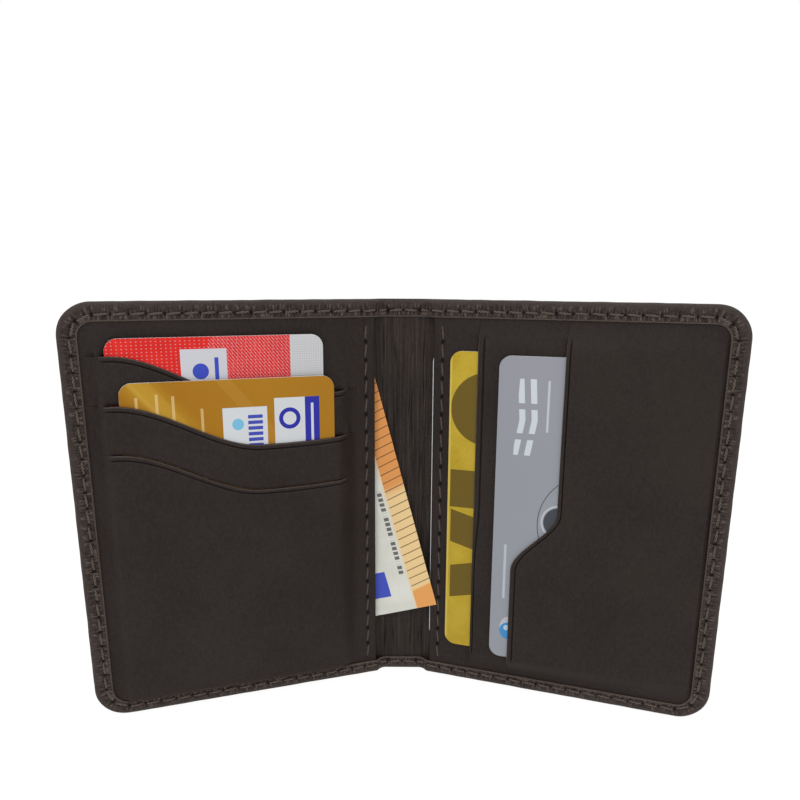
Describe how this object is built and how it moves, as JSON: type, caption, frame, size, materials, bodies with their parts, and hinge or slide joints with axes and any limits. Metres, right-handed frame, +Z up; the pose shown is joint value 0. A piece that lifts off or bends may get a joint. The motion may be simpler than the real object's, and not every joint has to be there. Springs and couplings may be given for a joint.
{
  "type": "bifold card wallet",
  "caption": "Upright bifold leather wallet with S-cut card slots, a turned stitched hem, side note compartments, sliding cards and a folded banknote.",
  "frame": {"origin": "bottom centre of the bounding box of the wallet standing open on its bottom edges", "axes": "+X to the right as seen from inside, +Y towards the spine's outer face, +Z up along the spine"},
  "size_m": [0.1672, 0.0318, 0.11],
  "materials": {
    "leather": "matte, fine grain, dark chocolate brown",
    "pocket leather": "matte, smooth, dark chocolate brown",
    "lining": "matte with fine creases, dark brown",
    "textile": "thin dark woven lining",
    "stitches": "brown polyester thread",
    "red card": "printed plastic card, satin",
    "gold card": "printed plastic card, satin",
    "yellow card": "printed plastic card, satin",
    "grey card": "printed plastic card, pearly",
    "white card": "plain plastic card, satin",
    "paper": "printed cotton paper, matte"
  },
  "bodies": {
    "spine": {"spine_cover": "leather", "spine_lining": "lining", "spine_hem_stitches": "stitches", "left_fold": "leather", "right_fold": "leather", "left_fold_lining": "lining", "right_fold_lining": "lining"},
    "left_half": {"left_cover": "leather", "left_lining": "lining", "left_backing": "textile", "left_panel": "pocket leather", "left_divider_1": "textile", "left_divider_2": "textile", "left_hem_stitches": "stitches", "left_panel_stitches": "stitches", "banknote": "paper"},
    "right_half": {"right_cover": "leather", "right_lining": "lining", "right_backing": "textile", "right_panel": "pocket leather", "right_divider": "textile", "right_hem_stitches": "stitches", "right_panel_stitches": "stitches", "banknote_corner": "paper"},
    "red_card": {"red_card": "red card"},
    "gold_card": {"gold_card": "gold card"},
    "yellow_card": {"yellow_card": "yellow card"},
    "grey_card": {"grey_card": "grey card"},
    "white_card": {"white_card": "white card"}
  },
  "joints": [
    {"name": "left_fold", "type": "hinge", "parent": "spine", "child": "left_half", "pos_m": [-0.0075, 0.01517, 0], "axis": [0, 0, 1], "range_deg": [-19.7, 70.3], "deforming": ["left_fold", "left_fold_lining", "banknote"]},
    {"name": "right_fold", "type": "hinge", "parent": "spine", "child": "right_half", "pos_m": [0.0075, 0.01517, 0], "axis": [0, 0, -1], "range_deg": [-19.7, 70.3], "deforming": ["right_fold", "right_fold_lining", "banknote_corner"]},
    {"name": "red_card_slide", "type": "slide", "parent": "left_half", "child": "red_card", "axis": [0.0063, -0.0176, 0.9998], "range_m": [0, 0.086]},
    {"name": "gold_card_slide", "type": "slide", "parent": "left_half", "child": "gold_card", "axis": [0.0063, -0.0176, 0.9998], "range_m": [0, 0.084]},
    {"name": "yellow_card_slide", "type": "slide", "parent": "right_half", "child": "yellow_card", "axis": [-0.9468, 0.3218, 0], "range_m": [0, 0.005]},
    {"name": "grey_card_slide", "type": "slide", "parent": "right_half", "child": "grey_card", "axis": [-0.9548, 0.2974, 0], "range_m": [0, 0.018]},
    {"name": "white_card_slide", "type": "slide", "parent": "right_half", "child": "white_card", "axis": [0.9415, -0.3371, 0], "range_m": [0, 0.022]}
  ]
}
